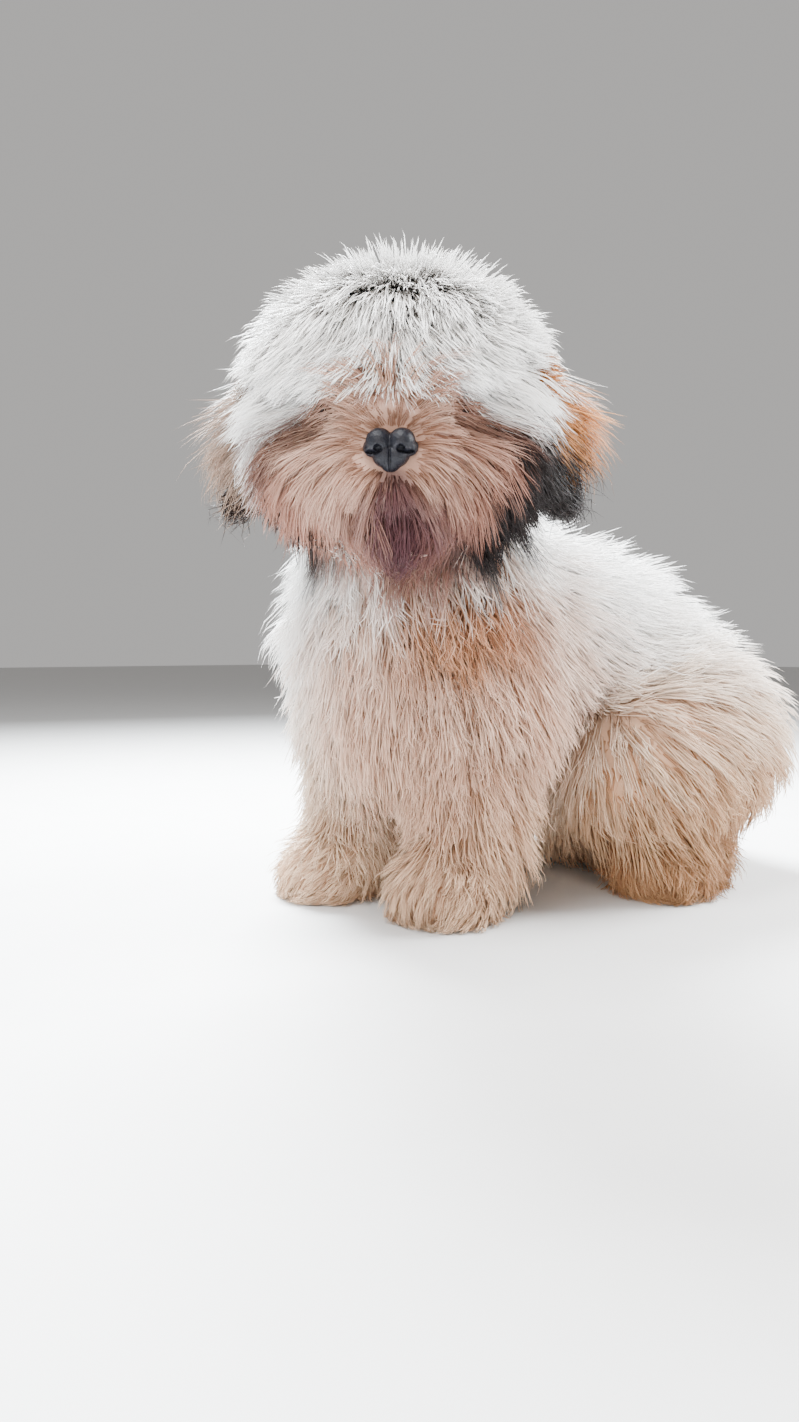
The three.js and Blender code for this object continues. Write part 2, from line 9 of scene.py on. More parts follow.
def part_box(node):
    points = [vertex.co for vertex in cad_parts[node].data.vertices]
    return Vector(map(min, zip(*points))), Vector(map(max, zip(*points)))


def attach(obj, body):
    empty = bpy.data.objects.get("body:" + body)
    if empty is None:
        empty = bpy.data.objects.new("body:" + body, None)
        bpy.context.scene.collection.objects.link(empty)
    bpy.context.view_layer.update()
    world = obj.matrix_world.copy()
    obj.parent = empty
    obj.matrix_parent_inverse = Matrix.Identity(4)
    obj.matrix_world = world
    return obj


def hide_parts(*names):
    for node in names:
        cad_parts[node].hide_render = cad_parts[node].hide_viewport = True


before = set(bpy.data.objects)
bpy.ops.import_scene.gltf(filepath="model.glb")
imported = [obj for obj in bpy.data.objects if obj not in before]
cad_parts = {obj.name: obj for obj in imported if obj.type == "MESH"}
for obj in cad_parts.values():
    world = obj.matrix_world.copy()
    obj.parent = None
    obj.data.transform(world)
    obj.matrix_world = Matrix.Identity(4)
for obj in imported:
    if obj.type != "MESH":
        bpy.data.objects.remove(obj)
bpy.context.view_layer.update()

# A shih tzu puppy that sits with its head turned to its left, life size.
# Places are millimetres in the puppy's own frame: its body faces -Y, its left is +X, and the floor is z = 0.
mm = 0.001
print("frame loaded")

head = {
    "skull": (33, -76, 199),
    "turn": 43.5,  # degrees to the puppy's left
    "dip": 9.0,
    "nose": (52, 0, -14),  # forward, left and up from the skull's centre
    "eye": (28, 22, -1),
    "eyeRadius": 7.5,
    "earTop": (-8, 35, 16),
    "earTip": (-6, 53, -28),
    "earFlap": (15, 3.2, 25),  # half sizes
}


def turned(vector):
    # from the head's level, forward-facing axes to its dipped and turned ones
    dip = math.radians(head["dip"])
    turn = math.radians(head["turn"])
    x, y, z = vector
    y, z = y * math.cos(dip) - z * math.sin(dip), y * math.sin(dip) + z * math.cos(dip)
    x, y = x * math.cos(turn) - y * math.sin(turn), x * math.sin(turn) + y * math.cos(turn)
    return np.array((x, y, z))


headAxes = np.array([turned((0, -1, 0)), turned((1, 0, 0)), turned((0, 0, 1))])  # forward, left, up
eyesSeen = np.array([[*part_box(name)] for name in ("eye_left", "eye_right")]).mean(axis=(0, 1))
eyeMiddle = np.array(head["skull"]) + np.array([head["eye"][0] + 0.2, 0, head["eye"][2]]) @ headAxes
shift = eyesSeen - eyeMiddle * mm  # from the puppy's own frame to the CAD frame


def place(x, y, z):
    return np.array((x, y, z), float) * mm + shift


def onHead(f, l, u):
    return place(*(np.array(head["skull"]) + np.array((f, l, u), float) @ headAxes))


skull = onHead(0, 0, 0)


def inHead(points):
    return (points - skull) @ headAxes.T / mm


def unit(vectors):
    return vectors / np.maximum(np.linalg.norm(vectors, axis=-1, keepdims=True), 1e-9)


def smooth(values, low, high):
    t = np.clip((values - low) / (high - low), 0, 1)
    return t * t * (3 - 2 * t)


# The masses of the body: tapered capsules of start, radius, end, radius, and the depth of the coat on them
toeCoat = 5
masses = {"head": [], "ear": [], "neck": [], "torso": [], "rump": [], "foreleg": [], "forepaw": [],
          "haunch": [], "hindfoot": [], "tail": []}
for s in (1, -1):
    masses["head"] += [
        (onHead(-4, 8 * s, 2), 32, onHead(5, 8 * s, 2), 32, 23),
        (onHead(6, 20 * s, -17), 17, onHead(16, 15 * s, -18), 15, 18),
        (onHead(46, 4 * s, -23), 5, onHead(33, 13 * s, -25), 6, 6),
    ]
    masses["ear"] += [(onHead(-8, 36 * s, 12), 6, onHead(-6, 51 * s, -14), 6, 16)]
    wrist = (31 * s, -40 if s > 0 else -48, 14)
    elbow = (wrist[0], wrist[1] + 7, 80)
    masses["foreleg"] += [(place(*elbow), 19, place(elbow[0], elbow[1], 24), 14, 15 if s > 0 else 11)]
    heading = np.array((0.12 * s, -1, 0)) / math.hypot(0.12, 1)

    def toes(base, towards, width, count):
        base = np.array(base, float)
        aside = np.array((-towards[1], towards[0], 0)) * width
        made = []
        for i in range(count):
            share = i / (count - 1) - 0.5
            start = base + towards * 4 + aside * share * 0.7
            end = base + towards * (18 - 8 * abs(share)) + aside * share
            made.append((place(*start), 7, place(end[0], end[1], 8), 6.5, toeCoat))
        return made

    masses["forepaw"] += [(place(*wrist), 12, place(*(np.array(wrist) + heading * 8)), 11, 7)]
    masses["forepaw"] += toes(wrist, heading, 22, 4)
    hip = (52, 94, 66) if s > 0 else (-34, 94, 60)
    knee = (56, 56, 54) if s > 0 else (-42, 62, 54)
    heel = (64, 84, 13) if s > 0 else (-55, 82, 13)
    toe = (68, 54, 11) if s > 0 else (-60, 52, 11)
    masses["haunch"] += [(place(*hip), 36 if s > 0 else 34, place(*knee), 29, 22)]
    pointing = unit(np.array((toe[0] - heel[0], toe[1] - heel[1], 0.0)))
    masses["hindfoot"] += [(place(*heel), 13, place(*toe), 11, 9)]
    masses["hindfoot"] += toes(np.array(toe) - pointing * 10, pointing, 20, 4)
masses["head"] += [
    (onHead(28, 0, -14), 16, onHead(40, 0, -17), 12, 8),
    (onHead(24, 0, -31), 11, onHead(33, 0, -34), 8, 12),
]
masses["neck"] += [(onHead(-12, 0, -14), 27, place(4, -34, 138), 34, 20)]
masses["torso"] += [
    (place(0, -36, 120), 36, place(0, -30, 90), 36, 24),
    (place(22, -28, 112), 26, place(22, -24, 88), 26, 20),
    (place(-22, -34, 112), 28, place(-22, -30, 92), 26, 24),
    (place(0, 0, 114), 40, place(3, 50, 102), 41, 26),
]
masses["rump"] += [(place(8, 80, 92), 43, place(14, 94, 54), 42, 26)]
masses["tail"] += [
    (place(12, 134, 50), 11, place(-6, 150, 24), 9, 16),
    (place(-6, 150, 24), 9, place(-46, 138, 18), 6, 16),
]

regions = list(masses)
capsules = [(*one, regions.index(name)) for name, several in masses.items() for one in several]
starts = np.array([one[0] for one in capsules])
runs = np.array([one[2] for one in capsules]) - starts
runSquares = np.maximum((runs ** 2).sum(axis=1), 1e-9)
startRadii = np.array([one[1] for one in capsules]) * mm
endRadii = np.array([one[3] for one in capsules]) * mm
coatDepths = np.array([one[4] for one in capsules]) * mm
capsuleRegions = np.array([one[5] for one in capsules])
melt = 4 * mm  # how softly the masses run together
openRadius = 12 * mm  # how far round the nose and eyes the coat opens

noseAxis = (onHead(0, 0, -14), headAxes[0])
eyeAxes = []
eyeForward, eyeAside, eyeUp = head["eye"]
for s in (1, -1):
    start = onHead(0, eyeAside * 0.6 * s, eyeUp)
    eyeAxes.append((start, unit(onHead(eyeForward, eyeAside * 1.15 * s, eyeUp) - start)))


def openness(points, axes, radius):
    # 0 on the lines out of the head where the coat is open, 1 away from them
    share = np.ones(len(points))
    for start, along in axes:
        offset = points - start
        ahead = offset @ along
        aside = np.linalg.norm(offset - ahead[:, None] * along, axis=1)
        share *= np.where(ahead > 0, smooth(aside, radius * 0.6, radius * 1.3), 1)
    return share


def feel(points, overEyes=False, share=0.0):
    # Distance to the melted masses under a share of their coat, the way out, the coat's depth and the region
    opened = openness(points, [noseAxis] if overEyes else [noseAxis, *eyeAxes], openRadius)
    offset = points[:, None, :] - starts[None]
    t = np.clip((offset * runs).sum(axis=2) / runSquares, 0, 1)
    away = offset - t[..., None] * runs
    distance = np.maximum(np.linalg.norm(away, axis=2), 1e-9)
    radius = startRadii + (endRadii - startRadii) * t + coatDepths * share * opened[:, None]
    weight = np.exp(np.clip((radius - distance) / melt, -80, 80))
    total = weight.sum(axis=1)
    out = unit((weight[..., None] * away / distance[..., None]).sum(axis=1))
    coat = (weight * coatDepths).sum(axis=1) / total * opened
    region = capsuleRegions[np.argmax(weight, axis=1)]
    return -melt * np.log(total), out, coat, region


# Modelling helpers
def readPlaces(piece):
    places = np.empty(len(piece.data.vertices) * 3)
    piece.data.vertices.foreach_get("co", places)
    return places.reshape(-1, 3)


def writePlaces(piece, places):
    piece.data.vertices.foreach_set("co", places.astype(np.float32).ravel())
    piece.data.update()


def deselectAll():
    if bpy.context.object and bpy.context.object.mode != "OBJECT":
        bpy.ops.object.mode_set(mode="OBJECT")
    bpy.ops.object.select_all(action="DESELECT")


def useOnly(piece):
    deselectAll()
    piece.select_set(True)
    bpy.context.view_layer.objects.active = piece


def addBall(centre, radius, segments=24, rings=16, rotation=(0, 0, 0)):
    deselectAll()
    bpy.ops.mesh.primitive_uv_sphere_add(
        segments=segments, ring_count=rings, radius=radius, location=Vector(centre), rotation=rotation)
    return bpy.context.object


def addEllipsoid(centre, axes, halfSizes):
    # a ball stretched along three axes
    ball = addBall((0, 0, 0), 1.0, 32, 20)
    turn = Matrix([Vector(axis) for axis in axes]).transposed().to_4x4()
    size = Matrix.Diagonal((*[half * mm for half in halfSizes], 1))
    ball.matrix_world = Matrix.Translation(Vector(centre)) @ turn @ size
    return ball


def addCapsule(start, startRadius, end, endRadius):
    # A ball whose upper half is moved along and resized to the other end
    run = Vector(end) - Vector(start)
    turn = run.to_track_quat("Z", "Y").to_euler() if run.length > 1e-6 else (0, 0, 0)
    ball = addBall(start, startRadius, rotation=turn)
    if run.length < 1e-6:
        return ball
    selectWhere(ball, lambda spot: spot.z > startRadius * 0.02)
    size = endRadius / startRadius
    bpy.ops.transform.resize(value=(size, size, size), center_override=Vector(start))
    bpy.ops.transform.translate(value=run)
    bpy.ops.object.mode_set(mode="OBJECT")
    return ball


def joined(pieces, name):
    deselectAll()
    for piece in pieces:
        piece.select_set(True)
    bpy.context.view_layer.objects.active = pieces[0]
    if len(pieces) > 1:
        bpy.ops.object.join()
    bpy.ops.object.transform_apply(location=True, rotation=True, scale=True)
    whole = bpy.context.object
    whole.name = whole.data.name = name
    return whole


def applied(piece, kind, **settings):
    useOnly(piece)
    modifier = piece.modifiers.new(kind.title(), kind)
    for name, value in settings.items():
        setattr(modifier, name, value)
    bpy.ops.object.modifier_apply(modifier=modifier.name)
    return piece


def remeshed(piece, voxel):
    useOnly(piece)
    piece.data.remesh_voxel_size = voxel
    bpy.ops.object.voxel_remesh()


def cutBy(piece, cutters):
    for cutter in cutters:
        applied(piece, "BOOLEAN", operation="DIFFERENCE", object=cutter, solver="EXACT")
        bpy.data.objects.remove(cutter)


def selectWhere(piece, test):
    # edit mode, with the vertices selected whose place passes the test
    useOnly(piece)
    bpy.ops.object.mode_set(mode="EDIT")
    bpy.ops.mesh.select_all(action="DESELECT")
    shape = bmesh.from_edit_mesh(piece.data)
    for vert in shape.verts:
        vert.select_set(bool(test(vert.co)))
    shape.select_flush(True)
    bmesh.update_edit_mesh(piece.data)


# Shader helpers: a wire is a socket, and sums and products of wires add Math nodes
class Wire:
    def __init__(self, tree, socket=None):
        self.tree = tree
        self.socket = socket

    def node(self, kind, settings=None, sockets=None, output=0):
        made = self.tree.nodes.new(kind)
        for name, value in (settings or {}).items():
            if name == "stops":
                for i, (position, colour) in enumerate(value):
                    stop = made.color_ramp.elements[i] if i < 2 else made.color_ramp.elements.new(position)
                    stop.position = position
                    stop.color = (*colour, 1)
            else:
                setattr(made, name, value)
        for name, value in (sockets or {}).items():
            if isinstance(value, Wire):
                self.tree.links.new(value.socket, made.inputs[name])
            else:
                made.inputs[name].default_value = value
        return Wire(self.tree, made.outputs[output])

    def maths(self, operation, *values):
        return self.node("ShaderNodeMath", {"operation": operation}, dict(enumerate(values)))

    def __add__(self, other):
        return self.maths("ADD", self, other)

    __radd__ = __add__

    def __sub__(self, other):
        return self.maths("SUBTRACT", self, other)

    def __rsub__(self, other):
        return self.maths("SUBTRACT", other, self)

    def __mul__(self, other):
        return self.maths("MULTIPLY", self, other)

    __rmul__ = __mul__

    def __truediv__(self, other):
        return self.maths("DIVIDE", self, other)

    def vector(self, operation, *values, output=0):
        return self.node("ShaderNodeVectorMath", {"operation": operation}, dict(enumerate(values)), output)

    def dot(self, direction):
        return self.vector("DOT_PRODUCT", self, tuple(direction), output="Value")

    def between(self, low, high):
        # 0 below low, 1 above high, smooth between them
        return self.node(
            "ShaderNodeMapRange", {"interpolation_type": "SMOOTHSTEP"},
            {"Value": self, "From Min": low, "From Max": high})

    def mix(self, share, colour):
        # this colour, with a share of the other one
        return self.blend(share, self, colour)

    def blend(self, share, first, second, kind="MIX"):
        colours = [one if isinstance(one, Wire) else (*one, 1) for one in (first, second)]
        return self.node("ShaderNodeMix", {"data_type": "RGBA", "blend_type": kind}, {
            0: share, 6: colours[0], 7: colours[1]}, 2)

    def scaled(self, factor):
        return self.node("ShaderNodeVectorMath", {"operation": "SCALE"}, {0: self, "Scale": factor})

    def noise(self, scale, detail=2.0, output="Fac"):
        return self.node("ShaderNodeTexNoise", {}, {"Vector": self, "Scale": scale, "Detail": detail}, output)


def newMaterial(name):
    material = bpy.data.materials.new(name)
    material.use_nodes = True
    tree = material.node_tree
    shader = tree.nodes["Principled BSDF"]
    return material, Wire(tree), shader


def link(wire, shader, socket):
    wire.tree.links.new(wire.socket, shader.inputs[socket])


# Markings and painted shade, the same on the skin and on the coat
coatColours = {
    "white": (0.93, 0.93, 0.92),
    "cream": (0.80, 0.65, 0.50),
    # painted shade: the chest's cream made darker and warmer where the head shades it
    "chestShade": (0.66, 0.42, 0.30),
    # painted warm shade on the lower legs near the floor
    "legShade": (0.70, 0.49, 0.33),
    # painted warm shade on the lower haunch
    "flankShade": (0.58, 0.35, 0.19),
    # painted warm shade on the hind feet by the floor
    "hindFeetShade": (0.46, 0.25, 0.12),
    # painted warm shade on the throat under the left ear
    "throatShade": (0.42, 0.18, 0.07),
    # face and muzzle: tan that is partly the coat's own colour and partly painted shade under the fringe
    "face": (0.34, 0.17, 0.125),
    "muzzle": (0.52, 0.34, 0.26),
    # painted shade under the chin and under the nose
    "chinShade": (0.06, 0.018, 0.026),
    "eyeShade": (0.06, 0.028, 0.022),
    "black": (0.014, 0.010, 0.010),
    "earTan": (0.58, 0.27, 0.10),
    "earGrey": (0.27, 0.19, 0.145),
    "earDark": (0.022, 0.013, 0.011),
    # root: painted shade, each strand darker near the skin where the coat shades itself
    "root": (0.58, 0.42, 0.32),  # darkens a strand near the skin
    "tuft": (0.62, 0.50, 0.44),  # sets tufts apart
}


def ellipsoid(spot, centre, radii, soft=0.25):
    # 1 inside an ellipsoid, 0 outside, fading over a share of its radii
    offset = spot.vector("SUBTRACT", spot, tuple(np.array(centre, float)))
    scaled = spot.vector("DIVIDE", offset, tuple(np.array(radii, float)))
    return 1 - spot.vector("LENGTH", scaled, output="Value").between(1 - soft, 1 + soft)


def markingsAndShade(spot):
    # The colour of the coat, markings and painted shade, at a place given in metres
    c = coatColours
    rough = spot.vector("SUBTRACT", spot.noise(55, 3.0, "Color"), (0.5, 0.5, 0.5))
    warped = spot.vector("ADD", spot, rough.scaled(0.014))  # so that the markings have ragged edges
    body = spot.vector("SUBTRACT", warped, tuple(shift)).scaled(1 / mm)
    offset = spot.vector("SUBTRACT", warped, tuple(skull))
    f, l, u = [offset.dot(axis / mm) for axis in headAxes]
    inSkull = spot.node("ShaderNodeCombineXYZ", {}, {0: f, 1: l, 2: u})
    height = body.dot((0, 0, 1))

    # cream below and white above: partly the coat's own colours, partly painted shade on the lower body
    colour = spot.blend(height.between(40, 150), c["cream"], c["white"])
    # painted shade on the chest, under the head
    colour = colour.mix(ellipsoid(body, (34, -50, 92), (58, 66, 66), 0.45) * 0.85, c["chestShade"])
    # painted shade: the legs darker and warmer towards the floor
    colour = colour.mix((1 - height.between(15, 80)) * 0.8, c["legShade"])
    # painted shade on the lower haunch
    colour = colour.mix(ellipsoid(body, (78, 66, 36), (56, 84, 56), 0.6) * 0.85, c["flankShade"])
    # painted shade on the hind feet
    colour = colour.mix(ellipsoid(body, (66, 66, 8), (36, 60, 26), 0.6) * 0.65, c["hindFeetShade"])
    # painted shade on the throat under the left ear
    colour = colour.mix(ellipsoid(inSkull, (8, 24, -62), (30, 30, 16), 0.6) * 0.8, c["throatShade"])
    # the face below the white cap, which hangs lower at the sides; its tan and the muzzle's are partly the
    # coat's own colour and partly painted shade under the fringe
    cap = (u + l * l * 0.006).between(6, 14)
    colour = colour.mix(ellipsoid(inSkull, (38, 0, -22), (38, 54, 36), 0.2) * (1 - cap), c["face"])
    colour = colour.mix(ellipsoid(inSkull, (46, -4, -10), (20, 22, 18), 0.6) * (1 - cap), c["muzzle"])
    # painted shade under the chin, then under the nose
    colour = colour.mix(ellipsoid(inSkull, (42, 6, -37), (32, 22, 13), 0.6) * 0.97, c["chinShade"])
    colour = colour.mix(ellipsoid(inSkull, (56, 0, -25), (16, 5, 7), 0.5) * 0.9, c["chinShade"])
    for s in (1, -1):
        colour = colour.mix(ellipsoid(inSkull, (30, 24 * s, -1), (15, 13, 8), 0.6) * 0.9, c["eyeShade"])
    colour = colour.mix(ellipsoid(inSkull, (20, 42, -24), (34, 17, 33), 0.15), c["black"])
    colour = colour.mix(ellipsoid(inSkull, (4, -40, -34), (20, 11, 20), 0.4) * 0.95, c["earDark"])
    for s, top, low, change in ((1, "earTan", "black", (-4, 7)), (-1, "earGrey", "earDark", (-18, -5))):
        ear = ellipsoid(inSkull, (-6, 52 * s, -6), (26, 19, 36), 0.12)
        colour = colour.mix(ear, c[low])
        colour = colour.mix(ear * u.between(*change), c[top])
    return colour


def skinMaterial():
    material, wire, shader = newMaterial("skin")
    spot = wire.node("ShaderNodeTexCoord", output="Object")
    colour = markingsAndShade(spot)
    pores = spot.noise(900, 3.0)
    shade = wire.blend(0.8, colour, (0.72, 0.62, 0.56), "MULTIPLY")
    link(shade.mix(pores * 0.25, (0.5, 0.33, 0.28)), shader, "Base Color")
    link(pores * 0.2 + 0.55, shader, "Roughness")
    bump = wire.node("ShaderNodeBump", {}, {"Strength": 0.35, "Distance": 0.0006, "Height": pores})
    link(bump, shader, "Normal")
    return material


def coatMaterial():
    material, wire, shader = newMaterial("coat")
    root = wire.node("ShaderNodeAttribute", {"attribute_name": "rootPlace"}, output="Vector")
    along = wire.node("ShaderNodeAttribute", {"attribute_name": "along"}, output="Fac")
    own = wire.node("ShaderNodeAttribute", {"attribute_name": "own"}, output="Fac")
    colour = markingsAndShade(root)
    red, blue = [wire.node("ShaderNodeSeparateColor", {}, {"Color": colour}, i) for i in (0, 2)]
    warmth = (1 - blue / (red + 0.001)) * 1.1 + 0.12  # white hair is more even than tan hair
    # painted shade: strands darker towards their roots, more on tan hair than on white
    shade = wire.blend((1 - along.between(0.0, 0.7)) * warmth, colour, coatColours["root"], "MULTIPLY")
    link(wire.blend(own * warmth, shade, coatColours["tuft"], "MULTIPLY"), shader, "Base Color")
    link(own * 0.15 + 0.5, shader, "Roughness")
    shader.inputs["Specular IOR Level"].default_value = 0.22
    return material


def finish(piece, material, slotName, *nodes):
    piece.data.materials.clear()
    piece.data.materials.append(material)
    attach(piece, "root")
    if nodes:
        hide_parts(*nodes)
    return piece


# Skin: one closed surface from the masses, with lids, a mouth line and ear flaps
skin = {
    "voxel": 1.9 * mm,
    "share": 0.36,  # of the coat's depth that the skin stands for
    "smooth": 6,
    "lid": 1.6,
    "slit": (7.5, 6.3, 4.9),  # half sizes
    "noseBed": 2.6,
    "mouth": ((26, 20, -27), (44, 12, -30), (51, 0, -27.5)),
    "mouthWidth": 1.6,
    "mouthDepth": 1.4,
    "floorGap": 0.3,
}


def makeSkin():
    parts = []
    for name, several in masses.items():
        if name == "ear":
            continue
        for start, startRadius, end, endRadius, coat in several:
            grown = coat * skin["share"]
            parts.append(addCapsule(start, (startRadius + grown) * mm, end, (endRadius + grown) * mm))
    eyeRadius = head["eyeRadius"]
    for s in (1, -1):
        parts.append(addBall(onHead(eyeForward, eyeAside * s, eyeUp), (eyeRadius + skin["lid"]) * mm))
        # the ear flap: a flattened ball that hangs beside the cheek
        top, tip = [onHead(f, l * s, u) for f, l, u in (head["earTop"], head["earTip"])]
        hang = Vector(unit(tip - top))
        away = Vector(headAxes[1] * s)
        wide = hang.cross(away).normalized()
        away = wide.cross(hang).normalized()
        parts.append(addEllipsoid((top + tip) / 2, (wide, away, hang), head["earFlap"]))
    body = joined(parts, "skin")
    remeshed(body, skin["voxel"])
    applied(body, "SMOOTH", factor=0.5, iterations=skin["smooth"])
    settle(body)
    slits = []
    for s in (1, -1):
        slitPlace = onHead(eyeForward + eyeRadius, (eyeAside + 1) * s, eyeUp)
        slits.append(addEllipsoid(slitPlace, headAxes, skin["slit"]))
        bpy.context.view_layer.update()
    cutBy(body, slits)
    pressMouth(body)
    useOnly(body)
    bpy.ops.object.shade_smooth()
    bpy.ops.object.mode_set(mode="EDIT")
    bpy.ops.mesh.select_all(action="SELECT")
    bpy.ops.mesh.normals_make_consistent(inside=False)
    bpy.ops.uv.smart_project(angle_limit=1.15, island_margin=0.002)
    bpy.ops.object.mode_set(mode="OBJECT")
    body.data.uv_layers[0].name = "OFBake"
    return body


def settle(body):
    # the skin moves to the melted masses under its share of the coat, except on lids and ear flaps
    places = readPlaces(body)
    f, l, u = inHead(places).T
    lids = np.minimum(*[np.hypot(f - eyeForward, np.hypot(l - eyeAside * s, u - eyeUp)) for s in (1, -1)])
    free = np.clip((lids - 9.5) / 5, 0, 1)
    onEar = (np.abs(f + 7) < 17) & (np.abs(l) > 39) & (u > -36) & (u < 22)
    free[onEar] = 0
    farthest = 6 * mm
    for _ in range(3):
        level, out, _, _ = feel(places, False, skin["share"])
        places -= out * (np.clip(level, -farthest, farthest) * free)[:, None]
    bed = (1 - smooth(np.hypot(l, u - head["nose"][2]), 6, 12)) * (f > 35)  # for the nose pad
    places -= headAxes[0] * (bed * skin["noseBed"] * mm)[:, None]
    places[:, 2] = np.maximum(places[:, 2], skin["floorGap"] * mm)
    writePlaces(body, places)


def pressMouth(body):
    # the line of the mouth: the skin within a little way of a curve is pressed in
    halfLine = [onHead(*spot) for spot in skin["mouth"]]
    line = [onHead(f, -l, u) for f, l, u in skin["mouth"]] + halfLine[-2::-1]
    points = np.array([line[i] + (line[i + 1] - line[i]) * t for i in range(4) for t in np.linspace(0, 1, 9)])
    near = skin["mouthWidth"] * mm
    selectWhere(body, lambda spot: np.linalg.norm(points - np.array(spot), axis=1).min() < near)
    bpy.ops.transform.shrink_fatten(value=-skin["mouthDepth"] * mm)
    bpy.ops.object.mode_set(mode="OBJECT")


skinPiece = makeSkin()
fleshNodes = [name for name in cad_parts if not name.startswith(("eye_", "nose"))]
finish(skinPiece, skinMaterial(), "coat", *fleshNodes)
print("skin made:", len(skinPiece.data.polygons), "faces")

# Eyes: a dark ball under a clear wet surface
eye = {
    "radius": 7.4,
    "corneaFrom": 0.78,  # of the radius
    "bulge": 0.5,
    "iris": (0.02, 0.008, 0.004),
    "pupil": (0.004, 0.003, 0.003),
    "white": (0.07, 0.04, 0.03),
}


def eyeMaterial(centre, name):
    material, wire, shader = newMaterial(name)
    spot = wire.node("ShaderNodeTexCoord", output="Object")
    offset = spot.vector("SUBTRACT", spot, tuple(centre))
    ahead = spot.vector("NORMALIZE", offset).dot(headAxes[0])
    streaks = spot.noise(1400, 2.0)
    iris = spot.blend(ahead.between(0.9, 0.93), eye["iris"], eye["pupil"])
    colour = iris.mix((1 - ahead.between(0.55, 0.62)), eye["white"]).mix(streaks * 0.15, eye["pupil"])
    link(colour, shader, "Base Color")
    shader.inputs["Roughness"].default_value = 0.06
    shader.inputs["Coat Weight"].default_value = 1.0
    shader.inputs["Coat Roughness"].default_value = 0.02
    return material


def makeEye(s, side):
    # the cornea is drawn out of a ball's front
    centre = onHead(eyeForward, eyeAside * s, eyeUp)
    turn = Vector(headAxes[0]).to_track_quat("Z", "Y").to_euler()
    ball = addBall(centre, eye["radius"] * mm, 32, 24, rotation=turn)
    selectWhere(ball, lambda spot: spot.z > eye["radius"] * mm * eye["corneaFrom"])
    bpy.ops.transform.translate(value=Vector(headAxes[0] * eye["bulge"] * mm))
    bpy.ops.object.mode_set(mode="OBJECT")
    ball = joined([ball], "eye" + side)
    applied(ball, "SUBSURF", levels=1, render_levels=1)
    bpy.ops.object.shade_smooth()
    return finish(ball, eyeMaterial(centre, "eye" + side), "eye", "eye_" + side.lower())


for s, side in ((1, "Left"), (-1, "Right")):
    makeEye(s, side)
print("eyes made")

# Nose: lobes on a narrow base, melted together, with comma nostrils and a groove
nose = {
    "voxel": 0.3 * mm,
    "black": (0.004, 0.0045, 0.008),
    "worn": (0.014, 0.014, 0.020),
    # from forward, aside, up and radius to the same: top, wing and lower lobes on both sides, and the base
    "lobes": (
        ((-2, 3.8, 2.6), 4.6, (2.4, 3.8, 2.4), 4.4),
        ((-1, 6.4, 0.6), 3.0, (1.8, 6.2, 0), 2.6),
        ((-2, 2.2, -2), 4.2, (2.4, 2, -2), 3.9),
        ((-2, 0, -4), 3.8, (2, 0, -4.2), 3.4),
    ),
    # aside, up, half width, half height and depth of each nostril's round and slit, and of the groove
    "hollows": ((3.8, 0.2, 1.3, 1.2, 2.6), (5.9, -0.9, 2.2, 0.6, 2.0), (0, -4.5, 0.45, 4.2, 0.8)),
}


def hollow(pad):
    # nostrils and the groove between them are pressed back into the pad
    places = readPlaces(pad)
    _, l, u = inHead(places).T
    side = np.abs(l)
    depth = np.zeros(len(places))
    for l0, u0, lr, ur, deep in nose["hollows"]:
        reachOut = np.hypot((side - l0) / lr, (u - head["nose"][2] - u0) / ur)
        depth = np.maximum(depth, deep * (1 - smooth(reachOut, 0.7, 1.25)))
    places -= headAxes[0] * (depth * mm)[:, None]
    writePlaces(pad, places)


def makeNose():
    f, _, u = head["nose"]
    parts = []
    for back, backRadius, front, frontRadius in nose["lobes"]:
        for s in (1, -1) if back[1] else (1,):
            ends = [onHead(f + ahead, aside * s, u + up) for ahead, aside, up in (back, front)]
            parts.append(addCapsule(ends[0], backRadius * mm, ends[1], frontRadius * mm))
    pad = joined(parts, "nosePad")
    remeshed(pad, nose["voxel"])
    applied(pad, "SMOOTH", factor=0.5, iterations=8)
    hollow(pad)
    useOnly(pad)
    bpy.ops.object.shade_smooth_by_angle(angle=1.0)
    material, wire, shader = newMaterial("nose")
    spot = wire.node("ShaderNodeTexCoord", output="Object")
    cells = spot.node("ShaderNodeTexVoronoi", {}, {"Vector": spot, "Scale": 1500.0}, "Distance")
    wear = spot.noise(260, 3.0).between(0.5, 0.72)
    link(spot.blend(wear * 0.6, nose["black"], nose["worn"]), shader, "Base Color")
    link(cells * 0.3 + 0.34, shader, "Roughness")
    shader.inputs["Specular IOR Level"].default_value = 0.22
    grain = {"Strength": 0.5, "Distance": 0.0003, "Height": cells}
    link(wire.node("ShaderNodeBump", {"invert": True}, grain), shader, "Normal")
    return finish(pad, material, "nose", "nose")


makeNose()
print("nose made")

# Claws: one bent cone, copied to the end of every toe
claw = {
    "length": 7,
    "base": 1.5,
    "tip": 0.3,
    "bend": 40,  # degrees
    "out": 1.2,  # past the toe
    "dark": (0.035, 0.025, 0.022),
    "light": (0.09, 0.07, 0.06),
}


